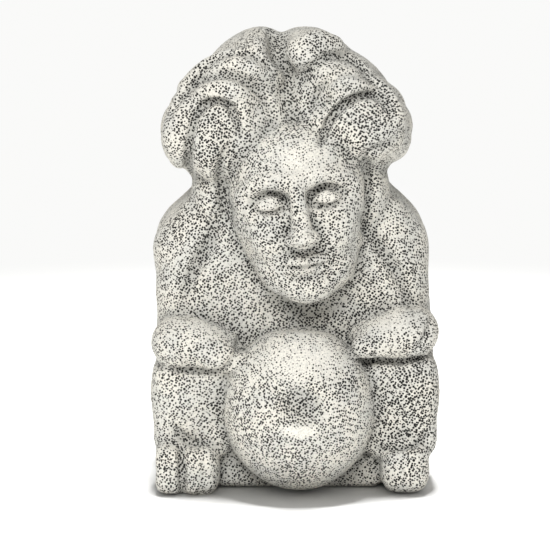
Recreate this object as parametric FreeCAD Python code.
"""Squatting stone figure with swept hair, closed eyes and a round belly.

The whole figure is carved from one block of porous grey stone, so the model is one solid.
Units are millimetres. +X is the right of someone facing the carving, +Y points to its flat back and
+Z is up. The origin is the middle of the resting face. Each form is a short function that returns a
closed solid, and the forms are joined and cut at the end. Roll angles are seen from the front, with
clockwise positive. A side is -1 for the left of someone facing the carving and +1 for the right.
"""

import FreeCAD, Part
import math
import os

from FreeCAD import Matrix, Placement, Rotation, Vector

# Driving dimensions: the block that the figure is cut from.
HEIGHT = 400.0
WIDTH = 248.0
DEPTH = 195.0

LEFT = -WIDTH / 2
RIGHT = WIDTH / 2
FRONT = -DEPTH / 2
BACK = DEPTH / 2

# Levels up the figure, from the floor.
FOOT_TOP = 0.115 * HEIGHT
LEG_TOP = 0.30 * HEIGHT
FOREARM_LEVEL = 0.335 * HEIGHT
CHIN_LEVEL = 0.43 * HEIGHT
SHOULDER_LEVEL = 0.57 * HEIGHT
NECK_LEVEL = 0.66 * HEIGHT
HAIRLINE_LEVEL = 0.80 * HEIGHT
HAIR_LEVEL = 0.77 * HEIGHT

# How far forward each layer of the carving stands.
ARM_FRONT = 0.26 * FRONT
CHEST_FRONT = 0.33 * FRONT
LAP_FRONT = 0.42 * FRONT
LEG_FRONT = 0.54 * FRONT
FOREARM_FRONT = 0.64 * FRONT
FOOT_FRONT = 0.68 * FRONT
FACE_FRONT = 0.80 * FRONT
HAIR_FRONT = 0.54 * FRONT

# The belly is a ball that clears the floor.
BELLY_RADIUS = 0.28 * WIDTH
BELLY_X = 0.012 * WIDTH
BELLY_LEVEL = BELLY_RADIUS + 0.0085 * HEIGHT
NAVEL_LEVEL = 0.23 * HEIGHT

# The head is an egg. The face on it keeps to thirds in height and fifths in width.
HEAD_X = 0.015 * WIDTH
HEAD_ROLL = -7.0
FACE_HEIGHT = HAIRLINE_LEVEL - CHIN_LEVEL
FACE_THIRD = FACE_HEIGHT / 3
FACE_HALF_WIDTH = 0.4 * FACE_HEIGHT
EYE_WIDTH = 2 * FACE_HALF_WIDTH / 5
HEAD_MIDDLE = 0.60
CROWN = 1.03
HEAD_FLATNESS = 0.76
HEAD_Y = FACE_FRONT + HEAD_FLATNESS * FACE_HALF_WIDTH

HAIR_X = -0.033 * WIDTH

PARTS_FOLDER = "parts"


def ellipsoid(centre, radii, roll=0.0):
    """A closed ellipsoid whose seam is turned to the back, where the other forms cover it."""
    width_radius, depth_radius, height_radius = radii
    stretch = Matrix()
    stretch.scale(depth_radius, width_radius, height_radius)
    ball = Part.makeSphere(1.0).transformGeometry(stretch)
    seam_to_back = Rotation(Vector(0, 0, 1), 90)
    ball.Placement = Placement(Vector(*centre), Rotation(Vector(0, 1, 0), roll).multiply(seam_to_back))
    return ball


def rounded_rectangle(z, left, right, front, back, corner):
    """A closed level outline at height z, four straight sides joined by four quarter circles."""
    cut = corner * (1 - math.sqrt(0.5))
    quarter_circles = [
        # start, middle and end of each corner, clockwise from the front left
        ((left, front + corner), (left + cut, front + cut), (left + corner, front)),
        ((right - corner, front), (right - cut, front + cut), (right, front + corner)),
        ((right, back - corner), (right - cut, back - cut), (right - corner, back)),
        ((left + corner, back), (left + cut, back - cut), (left, back - corner)),
    ]
    corners = [[Vector(x, y, z) for x, y in points] for points in quarter_circles]
    edges = []
    for index, (start, middle, end) in enumerate(corners):
        following = corners[(index + 1) % len(corners)][0]
        edges.append(Part.Arc(start, middle, end).toShape())
        edges.append(Part.makeLine(end, following))
    return Part.Wire(edges)


def rounded_box(low, high, radius):
    """A box between two corners, with every edge rounded."""
    size = [b - a for a, b in zip(low, high)]
    box = Part.makeBox(*size, Vector(*low))
    return box.makeFillet(radius, box.Edges)


def torso():
    """The block behind the limbs: upright sides up to the shoulders, then a slope in to the neck."""
    sections = [
        # height, left side, right side, front face, back face, corner radius
        (0.0, 0.94 * LEFT, 0.80 * RIGHT, ARM_FRONT, BACK - 3, 24),
        (0.03 * HEIGHT, 0.98 * LEFT, 0.89 * RIGHT, ARM_FRONT, BACK - 1, 25),
        (0.10 * HEIGHT, 0.99 * LEFT, 0.95 * RIGHT, ARM_FRONT, BACK - 1, 26),
        (FOREARM_LEVEL, 0.99 * LEFT, 0.98 * RIGHT, ARM_FRONT, BACK - 1, 27),
        (0.46 * HEIGHT, 0.98 * LEFT, 0.94 * RIGHT, ARM_FRONT, BACK - 2, 28),
        (SHOULDER_LEVEL - 4, 0.97 * LEFT, 0.92 * RIGHT, ARM_FRONT, BACK - 4, 29),
        (SHOULDER_LEVEL + 14, 0.85 * LEFT, 0.82 * RIGHT, ARM_FRONT + 3, BACK - 8, 31),
        (NECK_LEVEL - 4, 0.72 * LEFT, 0.68 * RIGHT, ARM_FRONT + 6, BACK - 13, 34),
        (HAIR_LEVEL, 0.67 * LEFT, 0.60 * RIGHT, ARM_FRONT + 10, BACK - 18, 36),
    ]
    return Part.makeLoft([rounded_rectangle(*section) for section in sections], True, False)


def chest():
    """The raised bib between the arms, narrow at the neck and wide at the forearms, ending at the belly."""
    outline = [
        Vector(0.22 * WIDTH, 0, NECK_LEVEL),
        Vector(0.42 * WIDTH, 0, FOREARM_LEVEL),
        Vector(0.30 * WIDTH, 0, 0.2 * HEIGHT),
        Vector(-0.30 * WIDTH, 0, 0.2 * HEIGHT),
        Vector(-0.43 * WIDTH, 0, FOREARM_LEVEL),
        Vector(-0.23 * WIDTH, 0, NECK_LEVEL),
    ]
    thickness = 30.0
    face = Part.Face(Part.makePolygon(outline + outline[:1]))
    bib = face.extrude(Vector(0, -thickness, 0))
    bib = bib.makeFillet(4.0, bib.Edges)
    bib.translate(Vector(0, CHEST_FRONT + thickness, 0))
    return bib


def upper_arm(side):
    """The shallow swell of the arm from the shoulder down the outer edge to the elbow."""
    depth_radius = 30.0
    reach = 0.355 * WIDTH if side < 0 else 0.335 * WIDTH
    centre = (side * reach, CHEST_FRONT - 2 + depth_radius, 0.46 * HEIGHT)
    return ellipsoid(centre, (0.135 * WIDTH, depth_radius, 0.185 * HEIGHT), side * -7.0)


def belly():
    """The round belly, standing forward of the feet and clear of the floor."""
    ball = Part.makeSphere(BELLY_RADIUS)
    seam_to_back = Rotation(Vector(0, 0, 1), 90)
    ball.Placement = Placement(Vector(BELLY_X, FRONT + BELLY_RADIUS, BELLY_LEVEL), seam_to_back)
    return ball


def lap():
    """The stone left between the legs, under and behind the belly."""
    return rounded_box((-0.29 * WIDTH, LAP_FRONT, 0.0), (0.31 * WIDTH, ARM_FRONT + 40.0, 0.26 * HEIGHT), 9.0)


def navel():
    """The shallow dish that is cut into the belly."""
    return ellipsoid((BELLY_X, FRONT - 1, NAVEL_LEVEL), (21.0, 10.0, 16.0), 8.0)


def forearm(side):
    """A level forearm across the top of the leg, its hand falling a little; the left one sits lower."""
    depth_radius = 40.0
    level = FOREARM_LEVEL - 4 if side < 0 else FOREARM_LEVEL + 5
    outer = ellipsoid(
        (side * 0.385 * WIDTH, FOREARM_FRONT + depth_radius, level + 2),
        (0.115 * WIDTH, depth_radius, 0.056 * HEIGHT),
    )
    inner = ellipsoid(
        (side * 0.30 * WIDTH, FOREARM_FRONT + depth_radius, level - 1),
        (0.125 * WIDTH, depth_radius, 0.048 * HEIGHT),
        side * -12.0,
    )
    return outer.fuse(inner)


def leg(side):
    """The bent leg between forearm and foot, a slab with a rounded front."""
    low_x, high_x = sorted((side * 0.22 * WIDTH, side * 0.498 * WIDTH))
    low = (low_x, LEG_FRONT, 0.6 * FOOT_TOP)
    high = (high_x, ARM_FRONT + 45.0, LEG_TOP)
    return rounded_box(low, high, 15.0)


def left_foot():
    """A blunt block of a foot whose front is grooved into two wide toes."""
    groove_radius = 3.0
    low_x, high_x = -0.49 * WIDTH, -0.29 * WIDTH
    block = rounded_box((low_x, FOOT_FRONT, 0.0), (high_x, ARM_FRONT + 40.0, FOOT_TOP), 9.0)
    foot_of_groove = Vector((low_x + high_x) / 2, FOOT_FRONT, -groove_radius)
    return block.cut(Part.makeCylinder(groove_radius, 0.9 * FOOT_TOP, foot_of_groove))


def right_foot():
    """The other foot, a plain lump with rounder edges that was left without toes."""
    return rounded_box(
        (0.30 * WIDTH, FOOT_FRONT, 0.0), (0.467 * WIDTH, ARM_FRONT + 40.0, 1.05 * FOOT_TOP), 15.0
    )


def head_half_width(level):
    """Half the width of the egg, at a height above the chin given as a fraction of the face."""
    reach = level / HEAD_MIDDLE - 1 if level < HEAD_MIDDLE else (level - HEAD_MIDDLE) / (CROWN - HEAD_MIDDLE)
    return FACE_HALF_WIDTH * math.sqrt(max(0.0, 1 - reach**2))


def on_head(across, level, proud=0.0):
    """A point of the head's front, before roll: across in millimetres, level as a fraction of the face."""
    half_width = head_half_width(level)
    bulge = math.sqrt(max(0.0, half_width**2 - across**2))
    return Vector(HEAD_X + across, HEAD_Y - HEAD_FLATNESS * bulge - proud, CHIN_LEVEL + level * FACE_HEIGHT)


def roll_head(shape):
    """Turns a form of the head about the middle of the face, so that the crown leans left."""
    middle = Vector(HEAD_X, 0, CHIN_LEVEL + 0.5 * FACE_HEIGHT)
    shape.rotate(middle, Vector(0, 1, 0), HEAD_ROLL)
    return shape


def skull():
    """The egg of the head: two halves of unequal height that meet at the widest level."""
    middle = Vector(HEAD_X, HEAD_Y, CHIN_LEVEL + HEAD_MIDDLE * FACE_HEIGHT)
    halves = []
    for low, high, height in ((-90, 0, HEAD_MIDDLE), (0, 90, CROWN - HEAD_MIDDLE)):
        half = Part.makeSphere(1.0, Vector(0, 0, 0), Vector(0, 0, 1), low, high, 360)
        stretch = Matrix()
        stretch.scale(HEAD_FLATNESS * FACE_HALF_WIDTH, FACE_HALF_WIDTH, height * FACE_HEIGHT)
        half = half.transformGeometry(stretch)
        half.Placement = Placement(middle, Rotation(Vector(0, 0, 1), 90))
        halves.append(half)
    return roll_head(halves[0].fuse(halves[1]))


def nose():
    """A straight plain nose on the middle third of the face, one eye wide at its base."""
    bridge = ellipsoid(on_head(0, 0.51), (7.0, 9.0, 0.60 * FACE_THIRD))
    tip = ellipsoid(on_head(0, 0.375, 2.0), (0.45 * EYE_WIDTH, 10.0, 8.5))
    return roll_head(bridge.fuse(tip))


def eye_socket(side):
    """The hollow between brow and cheek, which is cut before the lid is added."""
    return roll_head(ellipsoid(on_head(side * EYE_WIDTH, 0.575, 3.0), (0.68 * EYE_WIDTH, 9.0, 12.5)))


def eyelid(side):
    """A closed lid, one eye wide, low in its socket."""
    return roll_head(ellipsoid(on_head(side * EYE_WIDTH, 0.565, -6.0), (0.52 * EYE_WIDTH, 7.5, 8.0)))


def lips():
    """Closed lips a third of the way down from nose to chin."""
    upper = ellipsoid(on_head(0, 0.235, -3.0), (0.75 * EYE_WIDTH, 7.0, 4.5))
    lower = ellipsoid(on_head(0, 0.185, -3.0), (0.62 * EYE_WIDTH, 8.0, 5.0))
    return roll_head(upper.fuse(lower))


def hair_cap():
    """The mass of hair behind and above the face."""
    depth_radius = 0.35 * DEPTH
    centre = (HAIR_X, HAIR_FRONT + 12 + depth_radius, HAIR_LEVEL + 4)
    return ellipsoid(centre, (0.40 * WIDTH, depth_radius, 0.165 * HEIGHT))


def hair_side(side):
    """The full half of the hair on one side of the parting."""
    depth_radius = 0.38 * DEPTH
    centre = (HAIR_X + side * 0.185 * WIDTH, HAIR_FRONT - 2 + depth_radius, HAIR_LEVEL + 4)
    return ellipsoid(centre, (0.225 * WIDTH, depth_radius, 0.145 * HEIGHT), side * 24.0)


def hair_rolls():
    """Thick rolls combed back from the parting: crown, side and outer rolls."""
    depth_radius = 0.33 * DEPTH
    middle_y = HAIR_FRONT + depth_radius
    rolls = [
        # across from the parting, height, long radius, short radius, roll, setback from the hair front
        (-0.140 * WIDTH, 0.922 * HEIGHT, 0.155 * WIDTH, 0.064 * HEIGHT, -36.0, 10.0),
        (0.098 * WIDTH, 0.932 * HEIGHT, 0.140 * WIDTH, 0.062 * HEIGHT, 26.0, 10.0),
        (-0.225 * WIDTH, 0.850 * HEIGHT, 0.170 * WIDTH, 0.062 * HEIGHT, -45.0, 3.0),
        (0.215 * WIDTH, 0.868 * HEIGHT, 0.170 * WIDTH, 0.062 * HEIGHT, 42.0, 4.0),
        (-0.335 * WIDTH, 0.785 * HEIGHT, 0.150 * WIDTH, 0.066 * HEIGHT, -74.0, 5.0),
        (0.335 * WIDTH, 0.795 * HEIGHT, 0.150 * WIDTH, 0.066 * HEIGHT, 70.0, 6.0),
    ]
    shapes = []
    for across, height, long_radius, short_radius, roll, setback in rolls:
        centre = (HAIR_X + across, middle_y + setback, height)
        shapes.append(ellipsoid(centre, (long_radius, depth_radius, short_radius), roll))
    return shapes


def hair_bun(side):
    """The round end of the hair beside the temple, inside the outer roll; the right one sits higher."""
    depth_radius = 0.20 * DEPTH
    lift = 0.003 * HEIGHT if side < 0 else 0.022 * HEIGHT
    centre = (HAIR_X + side * 0.255 * WIDTH, HAIR_FRONT - 9 + depth_radius, HAIR_LEVEL + lift)
    return ellipsoid(centre, (0.11 * WIDTH, depth_radius, 0.083 * HEIGHT), side * -12.0)


def temple_lock(side):
    """The hair that falls from the bun, behind the cheek, to the shoulder."""
    centre = (0.5 * HAIR_X + side * 0.26 * WIDTH, 0.02 * DEPTH, NECK_LEVEL - 4)
    return ellipsoid(centre, (0.09 * WIDTH, 0.20 * DEPTH, 0.10 * HEIGHT), side * -10.0)


def below_floor():
    """A slab whose top is the resting face: what reaches into it is cut away."""
    return Part.makeBox(2 * WIDTH, 2 * DEPTH, HEIGHT, Vector(-WIDTH, -DEPTH, -HEIGHT))


def stone_figure():
    """Every form joined into the one block, with the sockets, the navel and the resting face cut."""
    sides = (-1, 1)
    face_forms = [nose(), lips()] + [eyelid(side) for side in sides]
    sunk_skull = skull().cut(eye_socket(-1)).cut(eye_socket(1))
    body_forms = [chest(), lap(), belly(), left_foot(), right_foot(), hair_cap()] + hair_rolls()
    for side in sides:
        body_forms += [upper_arm(side), forearm(side), leg(side)]
        body_forms += [hair_side(side), hair_bun(side), temple_lock(side)]
    figure = torso()
    for form in body_forms + [sunk_skull] + face_forms:
        figure = figure.fuse(form)
    figure = figure.cut(navel()).cut(below_floor())
    return max(figure.Solids, key=lambda solid: solid.Volume)


def rest_on_origin(shape):
    """Moves a shape so that its box is centred over the origin and its base is at z = 0."""
    box = shape.optimalBoundingBox()
    shape.translate(Vector(-box.Center.x, -box.Center.y, -box.ZMin))
    return shape


def main():
    os.makedirs(PARTS_FOLDER, exist_ok=True)
    figure = rest_on_origin(stone_figure())
    box = figure.optimalBoundingBox()
    print("valid", figure.isValid(), "closed", figure.isClosed(), "volume", round(figure.Volume))
    print("size", round(box.XLength, 1), round(box.YLength, 1), round(box.ZLength, 1))
    figure.exportStep(os.path.join(PARTS_FOLDER, "stone_figure.step"))


main()
